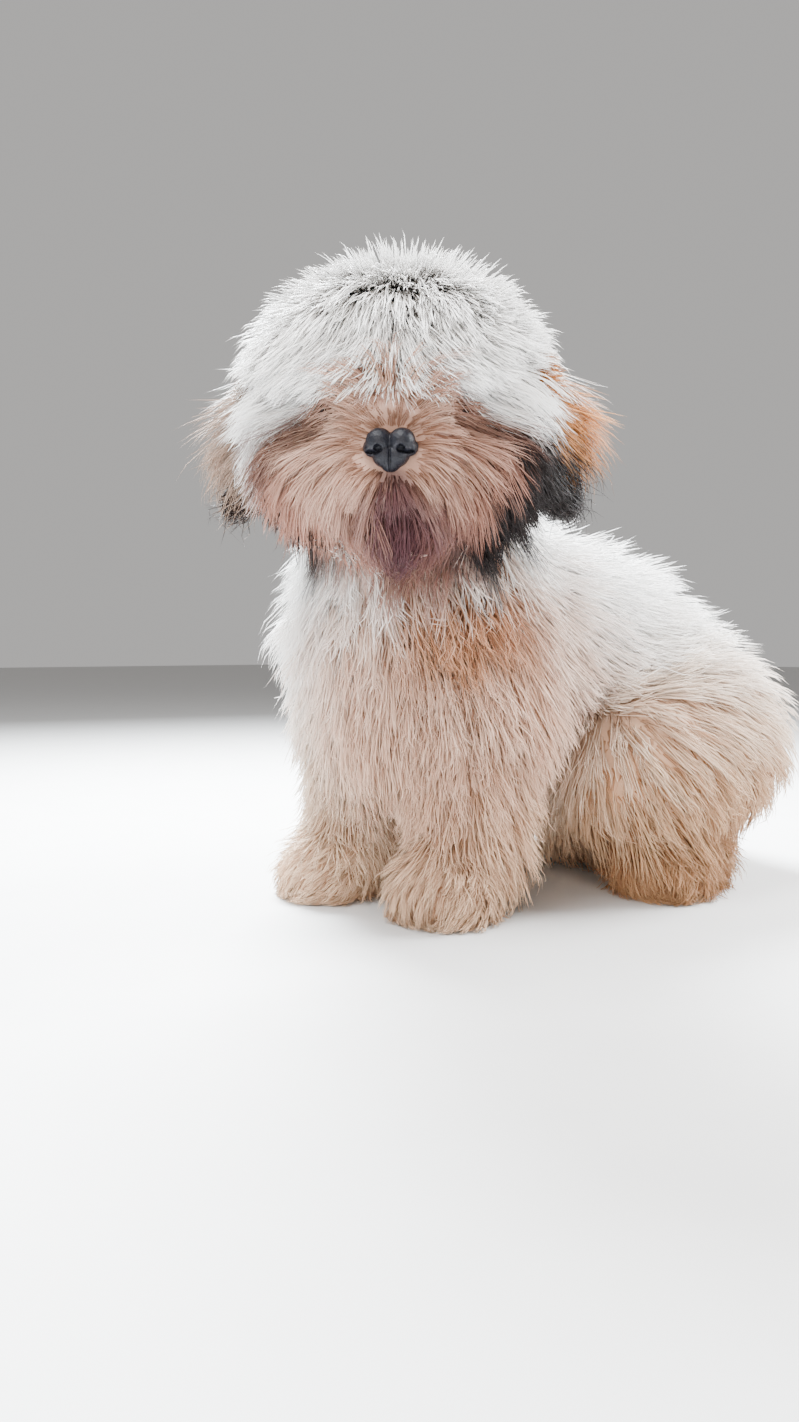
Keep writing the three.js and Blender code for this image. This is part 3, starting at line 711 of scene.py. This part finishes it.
def makeClaws():
    toeMasses = [one for name in ("forepaw", "hindfoot") for one in masses[name] if one[4] == toeCoat]
    deselectAll()
    bpy.ops.mesh.primitive_cone_add(
        vertices=12, radius1=claw["base"] * mm, radius2=claw["tip"] * mm, depth=claw["length"] * mm)
    first = bpy.context.object
    bpy.ops.object.mode_set(mode="EDIT")
    bpy.ops.mesh.select_all(action="SELECT")
    bpy.ops.mesh.subdivide(number_cuts=2)
    bpy.ops.object.mode_set(mode="OBJECT")
    bent = first.modifiers.new("Bend", "SIMPLE_DEFORM")
    bent.deform_method = "BEND"
    bent.deform_axis = "X"
    bent.angle = math.radians(claw["bend"])
    useOnly(first)
    bpy.ops.object.modifier_apply(modifier=bent.name)
    pieces = []
    for start, _, end, endRadius, _ in toeMasses:
        one = first.copy()
        one.data = first.data.copy()
        bpy.context.scene.collection.objects.link(one)
        along = unit((end - start) * (1, 1, 0))
        along = unit(along + np.array((0, 0, -0.5)))
        one.rotation_euler = Vector(along).to_track_quat("Z", "Y").to_euler()
        one.location = end + along * (endRadius + claw["out"]) * mm
        one.location.z = max(one.location.z, 4 * mm)
        pieces.append(one)
    bpy.data.objects.remove(first)
    bpy.context.view_layer.update()
    claws = joined(pieces, "claws")
    useOnly(claws)
    bpy.ops.object.shade_smooth()
    material, wire, shader = newMaterial("claw")
    spot = wire.node("ShaderNodeTexCoord", output="Object")
    link(spot.blend(spot.noise(300, 2.0) * 0.4, claw["dark"], claw["light"]), shader, "Base Color")
    shader.inputs["Roughness"].default_value = 0.35
    return finish(claws, material, "claw")


makeClaws()
print("claws made")

# Coat: tufts of tapered strands that leave the skin, follow its lie and climb to the tips of the coat
down = np.array((0.0, 0.0, -1.0))
crownTop = onHead(-38, 0, 14)
noseTop = onHead(50, 0, -10)


def alongSurface(flow, out):
    return unit(flow - (flow * out).sum(axis=1, keepdims=True) * out)


def columns(x, y, z, count):
    return np.stack([np.broadcast_to(np.asarray(one, float), count) for one in (x, y, z)], axis=1)


def lieCrown(points, out):
    # away from the whorl at the back, then parted to both sides over the brow
    f, l, u = inHead(points).T
    brow = smooth(f, 8, 34) * smooth(-u, -34, -12)
    aside = (0.9 * brow * np.tanh(l / 12))[:, None] * headAxes[1]
    return alongSurface(unit(points - crownTop) + 0.45 * down + aside, out)


def lieFace(points, out):
    # up and out from the nose, then swept down round the cheeks
    away = np.linalg.norm(points - noseTop, axis=1) / mm
    fall = (0.25 + 1.1 * smooth(away, 14, 42))[:, None]
    aside = (0.5 * np.tanh(inHead(points)[:, 1] / 6))[:, None] * headAxes[1]
    return alongSurface(unit(points - noseTop) + fall * down + aside, out)


def lieBeard(points, out):
    return alongSurface(0.5 * unit(points - noseTop) + down, out)


def lieBody(points, out):
    own = (points - shift) / mm
    back = 0.9 * smooth(own[:, 1], -50, 20)
    return alongSurface(columns(own[:, 0] * 0.006, back, -1, len(points)), out)


def lieLeg(points, out):
    return alongSurface(columns(0, 0.12, -1, len(points)), out)


def lieHaunch(points, out):
    own = (points - shift) / mm
    return alongSurface(columns(own[:, 0] * 0.003, 0.55, -1, len(points)), out)


def liePaw(points, out):
    own = (points - shift) / mm
    return alongSurface(columns(own[:, 0] * 0.01, -1, -0.7, len(points)), out)


def lieTail(points, out):
    high = (points - shift)[:, 2] / mm
    back, fall = np.where(high > 40, 0.9, -0.2), np.where(high > 30, -1, -0.25)
    return alongSurface(columns(-1, back, fall, len(points)), out)


def lieEar(points, out):
    _, l, u = inHead(points).T
    high = smooth(u, -16, 14)
    aside = (np.sign(l) * (0.75 + 0.65 * high))[:, None] * headAxes[1]
    return alongSurface(aside + (1.05 - 0.75 * high)[:, None] * down - 0.1 * headAxes[0], out)


# One row for each sort of coat, in millimetres: apart between tufts, half width of a tuft, length and width of
# its strands. Lift is how far tufts climb towards the tips of the coat, and rise how late. Clump is how far a
# tuft closes at its tip, wave and waves its curl, swing how far it turns off the lie, fluff and stray its loose
# ends. Rings and strands set how many triangles a tuft takes.
coat = {
    "crown": {
        "lie": lieCrown, "slot": "coat", "apart": 3.1, "half": 3.0, "length": 33,
        "strands": 8, "rings": 3, "width": 0.66, "rise": 0.42, "lift": (0.5, 1.0), "clump": 0.2,
        "wave": 0.9, "waves": 0.6, "swing": 0.14, "fluff": 1.8, "stray": 0.05,
    },
    "face": {
        "lie": lieFace, "slot": "face_coat", "apart": 2.5, "half": 1.8, "length": 27,
        "strands": 7, "rings": 4, "width": 0.44, "rise": 0.5, "lift": (0.35, 1.15), "clump": 0.55,
        "wave": 1.3, "waves": 0.7, "swing": 0.26, "fluff": 2.0, "stray": 0.07,
    },
    "bridge": {
        "lie": lieFace, "slot": "face_coat", "apart": 2.0, "half": 1.4, "length": 13,
        "strands": 7, "rings": 3, "width": 0.36, "rise": 0.35, "lift": (0.4, 1.1), "clump": 0.45,
        "wave": 0.5, "waves": 0.6, "swing": 0.2, "fluff": 1.4, "stray": 0.06,
    },
    "beard": {
        "lie": lieBeard, "slot": "face_coat", "apart": 2.8, "half": 2.0, "length": 30,
        "strands": 8, "rings": 4, "width": 0.48, "rise": 0.55, "lift": (0.35, 1.1), "clump": 0.6,
        "wave": 1.6, "waves": 0.9, "swing": 0.26, "fluff": 2.0, "stray": 0.07,
    },
    "ear": {
        "lie": lieEar, "slot": "ear_{}_coat", "apart": 3.2, "half": 2.3, "length": 43,
        "strands": 9, "rings": 4, "width": 0.5, "rise": 0.7, "lift": (0.4, 1.3), "clump": 0.8,
        "wave": 2.4, "waves": 0.8, "swing": 0.45, "fluff": 7.0, "stray": 0.1,
    },
    "neck": {
        "lie": lieBody, "slot": "coat", "apart": 5.2, "half": 3.6, "length": 40,
        "strands": 8, "rings": 4, "width": 0.82, "rise": 0.6, "lift": (0.4, 1.0), "clump": 0.62,
        "wave": 3.4, "waves": 1.1, "swing": 0.42, "fluff": 3.0, "stray": 0.07,
    },
    "torso": {
        "lie": lieBody, "slot": "coat", "apart": 5.8, "half": 4.3, "length": 40,
        "strands": 9, "rings": 3, "width": 0.86, "rise": 0.6, "lift": (0.4, 1.0), "clump": 0.5,
        "wave": 2.8, "waves": 0.7, "swing": 0.45, "fluff": 3.5, "stray": 0.08,
    },
    "rump": {
        "lie": lieBody, "slot": "coat", "apart": 5.8, "half": 4.4, "length": 38,
        "strands": 9, "rings": 3, "width": 0.86, "rise": 0.6, "lift": (0.4, 1.0), "clump": 0.45,
        "wave": 2.6, "waves": 0.7, "swing": 0.42, "fluff": 3.5, "stray": 0.08,
    },
    "haunch": {
        "lie": lieHaunch, "slot": "coat", "apart": 5.8, "half": 4.2, "length": 38,
        "strands": 9, "rings": 3, "width": 0.82, "rise": 0.6, "lift": (0.35, 0.88), "clump": 0.6,
        "wave": 2.4, "waves": 0.8, "swing": 0.45, "fluff": 0.8, "stray": 0.045,
    },
    "foreleg": {
        "lie": lieLeg, "slot": "leg_coat", "apart": 4.7, "half": 3.2, "length": 29,
        "strands": 8, "rings": 3, "width": 0.7, "rise": 0.6, "lift": (0.35, 1.05), "clump": 0.6,
        "wave": 2.6, "waves": 0.8, "swing": 0.45, "fluff": 2.4, "stray": 0.09,
    },
    "forepaw": {
        "lie": liePaw, "slot": "leg_coat", "apart": 3.4, "half": 1.9, "length": 19,
        "strands": 7, "rings": 3, "width": 0.5, "rise": 0.7, "lift": (0.3, 1.5), "clump": 0.85,
        "wave": 1.2, "waves": 0.6, "swing": 0.5, "fluff": 3.2, "stray": 0.05,
    },
    "hindfoot": {
        "lie": liePaw, "slot": "leg_coat", "apart": 4.1, "half": 2.6, "length": 24,
        "strands": 7, "rings": 3, "width": 0.58, "rise": 0.7, "lift": (0.3, 1.4), "clump": 0.75,
        "wave": 2.2, "waves": 0.7, "swing": 0.55, "fluff": 2.4, "stray": 0.08,
    },
    "tail": {
        "lie": lieTail, "slot": "coat", "apart": 5.0, "half": 3.6, "length": 38,
        "strands": 9, "rings": 3, "width": 0.8, "rise": 0.6, "lift": (0.4, 1.0), "clump": 0.5,
        "wave": 2.4, "waves": 0.7, "swing": 0.4, "fluff": 2.0, "stray": 0.08,
    },
}
guideSteps = 8
pieceLimit = 185000  # triangles in one piece of coat
patch = 0.003  # of the skin's map, for each tuft
spots = 160000  # tried on the skin for roots
# the fringe is shorter over the brow and eyes, and the cap at the left cheek and over both ears
fringe = {"shortest": 0.42, "longerByHeight": 0.02, "leftCheek": 0.35, "overEars": 0.5}


def samplesOnSkin(piece, count, draw):
    # places spread over the skin by area, with the skin's own map coordinates
    mesh = piece.data
    mesh.calc_loop_triangles()
    corners = np.empty(len(mesh.loop_triangles) * 3, np.int32)
    mesh.loop_triangles.foreach_get("vertices", corners)
    loops = np.empty(len(mesh.loop_triangles) * 3, np.int32)
    mesh.loop_triangles.foreach_get("loops", loops)
    verts = np.empty(len(mesh.vertices) * 3)
    mesh.vertices.foreach_get("co", verts)
    uvs = np.empty(len(mesh.loops) * 2)
    mesh.uv_layers["OFBake"].data.foreach_get("uv", uvs)
    a, b, c = verts.reshape(-1, 3)[corners.reshape(-1, 3)].transpose(1, 0, 2)
    areas = np.linalg.norm(np.cross(b - a, c - a), axis=1)
    chosen = draw.choice(len(areas), count, p=areas / areas.sum())
    r1, r2 = np.sqrt(draw.random(count)), draw.random(count)
    weights = np.stack([1 - r1, r1 * (1 - r2), r1 * r2], axis=1)[:, :, None]
    places = (verts.reshape(-1, 3)[corners.reshape(-1, 3)[chosen]] * weights).sum(axis=1)
    mapped = (uvs.reshape(-1, 2)[loops.reshape(-1, 3)[chosen]] * weights).sum(axis=1)
    return places, mapped


def sortByKind(places):
    # which sort of coat grows at each place, by the mass below it and the place on the head
    _, out, _, region = feel(places)
    names = np.array(regions, dtype=object)[region]
    f, l, u = inHead(places).T
    kinds = names.copy()
    onSkull = names == "head"
    kinds[onSkull] = "crown"
    front = onSkull & (f >= 8)
    kinds[front & (u <= 8 + 0.2 * np.abs(l))] = "face"
    kinds[front & (u <= -30)] = "beard"
    kinds[front & (f > 30) & (np.abs(l) < 13) & (u > -26) & (u < 8)] = "bridge"
    kinds[onSkull & (np.hypot(l / 8.6, (u + 14) / 7.6) < 1) & (f > 42)] = "none"
    for s in (1, -1):
        kinds[np.hypot(f - eyeForward - 4, np.hypot(l - (eyeAside + 1) * s, u - eyeUp)) < 7] = "none"
    kinds[places[:, 2] < 1.5 * mm] = "none"
    kinds[(out[:, 2] < -0.8) & (places[:, 2] < 60 * mm)] = "none"
    kinds[(f > 48) & (np.abs(l) < 5) & (np.abs(u + 27.5) < 2.2)] = "none"
    return kinds


def growGuides(roots, kind, draw):
    # the middle line of each tuft, with its outward direction, as arrays of step, tuft, axis
    count = len(roots)
    long = kind["length"] * mm * draw.uniform(0.8, 1.15, count)
    overEyes = kind is coat["crown"]
    if overEyes:
        f, l, u = inHead(roots).T
        least = fringe["shortest"]
        onBrow = np.clip((f - 2) / 12, 0, 1)
        long *= 1 - onBrow * (1 - np.clip(least + (u - 10) * fringe["longerByHeight"], least, 1))
        long *= 1 - fringe["leftCheek"] * smooth(l, 18, 34) * smooth(f, -18, 0)
        long *= 1 - fringe["overEars"] * smooth(np.abs(l), 30, 40) * smooth(-u, -26, -10)
    lift = draw.uniform(*kind["lift"], count)
    swing = draw.normal(0, kind["swing"], count)
    fluff = kind["fluff"] * mm * draw.random(count) ** 2
    at = roots.copy()
    _, out, _, _ = feel(at, overEyes)
    along = kind["lie"](at, out)
    if kind is coat["haunch"] or kind is coat["rump"]:
        long *= 1 + 0.25 * smooth(-(at - shift)[:, 2] / mm, -60, -20)  # longer where it spreads on the floor
    points, outs = [at.copy()], [out.copy()]
    for i in range(1, guideSteps + 1):
        s = i / guideSteps
        flow = kind["lie"](at, out)
        across = np.cross(out, flow)
        angle = (swing * np.cos(math.pi * s))[:, None]
        flow = flow * np.cos(angle) + across * np.sin(angle)
        along = unit(0.5 * along + 0.5 * flow)
        at = at + along * (long / guideSteps)[:, None]
        level, out, depth, _ = feel(at, overEyes)
        height = (depth * lift + 1.2 * mm) * s ** kind["rise"] + fluff * s ** 2
        at = at + out * (height - level)[:, None]
        at[:, 2] = np.maximum(at[:, 2], 1.2 * mm)
        points.append(at.copy())
        outs.append(out.copy())
    return np.array(points), np.array(outs)


def strandMesh(name, kind, roots, mapped, draw):
    guides, outs = growGuides(roots, kind, draw)
    tangents = unit(np.gradient(guides, axis=0))
    sides = unit(np.cross(outs, tangents))
    outs = unit(np.cross(tangents, sides))
    tufts, per, ringCount = len(roots), kind["strands"], kind["rings"]
    total = tufts * per
    tuft = np.repeat(np.arange(tufts), per)
    radius = np.sqrt(draw.random(total)) * kind["half"] * mm
    angle = draw.uniform(0, 2 * math.pi, total)
    across, above = radius * np.cos(angle), radius * np.sin(angle) * 0.6
    share = draw.uniform(0.72, 1.0, total)
    wave = kind["wave"] * mm * draw.uniform(0.5, 1.2, tufts)[tuft]
    phase = draw.uniform(0, 2 * math.pi, tufts)[tuft] + draw.normal(0, 0.35, total)
    waves = kind["waves"] * draw.uniform(0.8, 1.25, tufts)[tuft]
    width = kind["width"] * mm * draw.uniform(0.75, 1.25, total)
    own = np.clip(draw.random(tufts)[tuft] * 0.6 + draw.random(total) * 0.4, 0, 1)
    stray = draw.normal(0, kind["stray"], (2, total)) * kind["length"] * mm
    steps = np.append(np.linspace(0, 0.91, ringCount) ** 1.5, 1.0)
    rings, tip = [], None
    for s in steps:
        t = s * share * guideSteps
        low = np.minimum(t.astype(int), guideSteps - 1)
        blend = (t - low)[:, None]
        centre = guides[low, tuft] * (1 - blend) + guides[low + 1, tuft] * blend
        side = unit(sides[low, tuft] * (1 - blend) + sides[low + 1, tuft] * blend)
        out = unit(outs[low, tuft] * (1 - blend) + outs[low + 1, tuft] * blend)
        spread = 1 - kind["clump"] * s ** 0.8
        turn = phase + 2 * math.pi * waves * s
        sway = wave * s ** 0.8
        centre = centre + side * (across * spread + sway * np.sin(turn) + stray[0] * s ** 1.5)[:, None]
        raised = above * spread + 0.5 * sway * np.cos(turn) + np.abs(stray[1]) * s ** 2
        centre = centre + out * raised[:, None]
        if s == 0:
            centre = centre - out * 0.5 * mm
        centre[:, 2] = np.maximum(centre[:, 2], 0.7 * mm)
        if s == 1:
            tip = centre
            continue
        half = (width / 2 * (1.0 if s < 0.5 else 1 - 1.3 * (s - 0.5)))[:, None]
        rings.append(np.stack([
            centre + out * half * 0.7,
            centre - side * half - out * half * 0.3,
            centre + side * half - out * half * 0.3], axis=1))
    verts = np.concatenate([*rings, tip[:, None, :]], axis=1)  # strand, point, axis
    points = verts.shape[1]
    pattern = [[0, 2, 1]]
    for r in range(ringCount - 1):
        for i in range(3):
            j = (i + 1) % 3
            pattern.append([3 * r + i, 3 * r + j, 3 * r + 3 + j, 3 * r + 3 + i])
    last = 3 * (ringCount - 1)
    for i in range(3):
        pattern.append([last + i, last + (i + 1) % 3, points - 1])
    flat = np.array([i for face in pattern for i in face])
    sizes = np.array([len(face) for face in pattern])
    loops = (flat[None] + np.arange(total)[:, None] * points).ravel()
    counts = np.tile(sizes, total)
    begins = np.concatenate([[0], np.cumsum(counts)[:-1]])
    mesh = bpy.data.meshes.new(name)
    mesh.vertices.add(total * points)
    mesh.vertices.foreach_set("co", verts.astype(np.float32).ravel())
    mesh.loops.add(len(loops))
    mesh.loops.foreach_set("vertex_index", loops.astype(np.int32))
    mesh.polygons.add(len(counts))
    mesh.polygons.foreach_set("loop_start", begins.astype(np.int32))
    mesh.polygons.foreach_set("use_smooth", np.ones(len(counts), bool))
    mesh.update(calc_edges=True)
    # each tuft has its own patch on the skin's map, with its strands side by side
    column = (np.tile(np.arange(per), tufts) + 0.5) / per
    alongPoints = np.append(np.repeat(steps[:-1], 3), 1.0)
    acrossPoints = np.append(np.tile([0.5, 0.1, 0.9], ringCount), 0.5) / per
    u = mapped[tuft, 0][:, None] + patch * (column[:, None] - 0.5 / per + acrossPoints[None] - 0.5)
    v = mapped[tuft, 1][:, None] + patch * (alongPoints[None] - 0.5) * np.ones((total, 1))
    uv = np.stack([u, v], axis=2).reshape(-1, 2)[loops]
    mesh.uv_layers.new(name="OFBake").data.foreach_set("uv", np.clip(uv, 0, 1).astype(np.float32).ravel())
    rootPlace = np.repeat(roots[tuft], points, axis=0).astype(np.float32)
    mesh.attributes.new("rootPlace", "FLOAT_VECTOR", "POINT").data.foreach_set("vector", rootPlace.ravel())
    mesh.attributes.new("along", "FLOAT", "POINT").data.foreach_set(
        "value", np.tile(alongPoints, total).astype(np.float32))
    mesh.attributes.new("own", "FLOAT", "POINT").data.foreach_set(
        "value", np.repeat(own, points).astype(np.float32))
    piece = bpy.data.objects.new(name, mesh)
    bpy.context.scene.collection.objects.link(piece)
    return piece


def makeCoat():
    draw = np.random.default_rng(7)
    places, mapped = samplesOnSkin(skinPiece, spots, draw)
    kinds = sortByKind(places)
    material = coatMaterial()
    total = 0
    for name, kind in coat.items():
        chosen = np.flatnonzero(kinds == name)
        cells = np.floor(places[chosen] / (kind["apart"] * mm)).astype(int)
        _, first = np.unique(cells, axis=0, return_index=True)
        chosen = chosen[np.sort(first)]
        groups = {name: (chosen, kind["slot"])}
        if name == "ear":
            onLeft = inHead(places[chosen])[:, 1] > 0
            groups = {
                "earLeft": (chosen[onLeft], kind["slot"].format("left")),
                "earRight": (chosen[~onLeft], kind["slot"].format("right")),
            }
        each = kind["strands"] * (6 * kind["rings"] - 2)
        for group, (members, slotName) in groups.items():
            members = members[np.argsort(places[members, 0], kind="stable")]
            count = math.ceil(len(members) * each / pieceLimit)
            for i, which in enumerate(np.array_split(members, count)):
                label = "coat" + group[0].upper() + group[1:] + (str(i + 1) if count > 1 else "")
                made = strandMesh(label, kind, places[which], mapped[which], draw)
                total += len(which) * each
                finish(made, material, slotName)
                print("  ", label, len(which), "tufts,", len(which) * each, "triangles")
    print("coat made:", total, "triangles")


makeCoat()

# Floor, lights and camera
studio = {
    "floor": (0.5, 0.495, 0.49),
    "floorPale": (0.74, 0.73, 0.71),
    "world": (1.0, 0.98, 0.96),
    "worldStrength": 0.5,
    "camera": (324.5, -347.8, 110),
    "facing": 47,  # degrees
    "pitch": 3.4,
    "lens": 26.08,
}


def makeFloor():
    deselectAll()
    bpy.ops.mesh.primitive_plane_add(size=12, location=(0, 0, 0))
    floor = bpy.context.object
    floor.name = "floor"
    material, wire, shader = newMaterial("floor")
    spot = wire.node("ShaderNodeTexCoord", output="Object")
    grain = spot.noise(30, 4.0)
    link(wire.blend(grain * 0.2, studio["floor"], studio["floorPale"]), shader, "Base Color")
    shader.inputs["Roughness"].default_value = 0.8
    floor.data.materials.append(material)


def addLight(name, where, target, size, power, colour):
    data = bpy.data.lights.new(name, "AREA")
    data.shape = "DISK"
    data.size = size
    data.energy = power
    data.color = colour
    lamp = bpy.data.objects.new(name, data)
    bpy.context.scene.collection.objects.link(lamp)
    lamp.location = where
    lamp.rotation_euler = (Vector(target) - Vector(where)).to_track_quat("-Z", "Y").to_euler()


makeFloor()
world = bpy.data.worlds.new("studio")
bpy.context.scene.world = world
world.use_nodes = True
world.node_tree.nodes["Background"].inputs["Color"].default_value = (*studio["world"], 1)
world.node_tree.nodes["Background"].inputs["Strength"].default_value = studio["worldStrength"]
middle = place(5, 0, 120)
addLight("key", place(-430, 130, 680), middle, 0.4, 120, (0.90, 0.96, 1.0))
addLight("top", place(40, -260, 640), onHead(10, 0, 30), 0.35, 14, (0.96, 0.98, 1.0))
addLight("rim", place(330, 560, 560), middle, 0.45, 36, (0.95, 0.98, 1.0))
addLight("fill", place(500, -560, 330), middle, 0.8, 6, (1.0, 0.88, 0.78))

cameraData = bpy.data.cameras.new("camera")
cameraData.lens = studio["lens"]
cameraData.sensor_width = 36
cameraData.clip_start = 0.01
camera = bpy.data.objects.new("camera", cameraData)
bpy.context.scene.collection.objects.link(camera)
camera.location = place(*studio["camera"])
camera.rotation_euler = (math.radians(90 - studio["pitch"]), 0, math.radians(studio["facing"]))
bpy.context.scene.camera = camera
print("studio set")
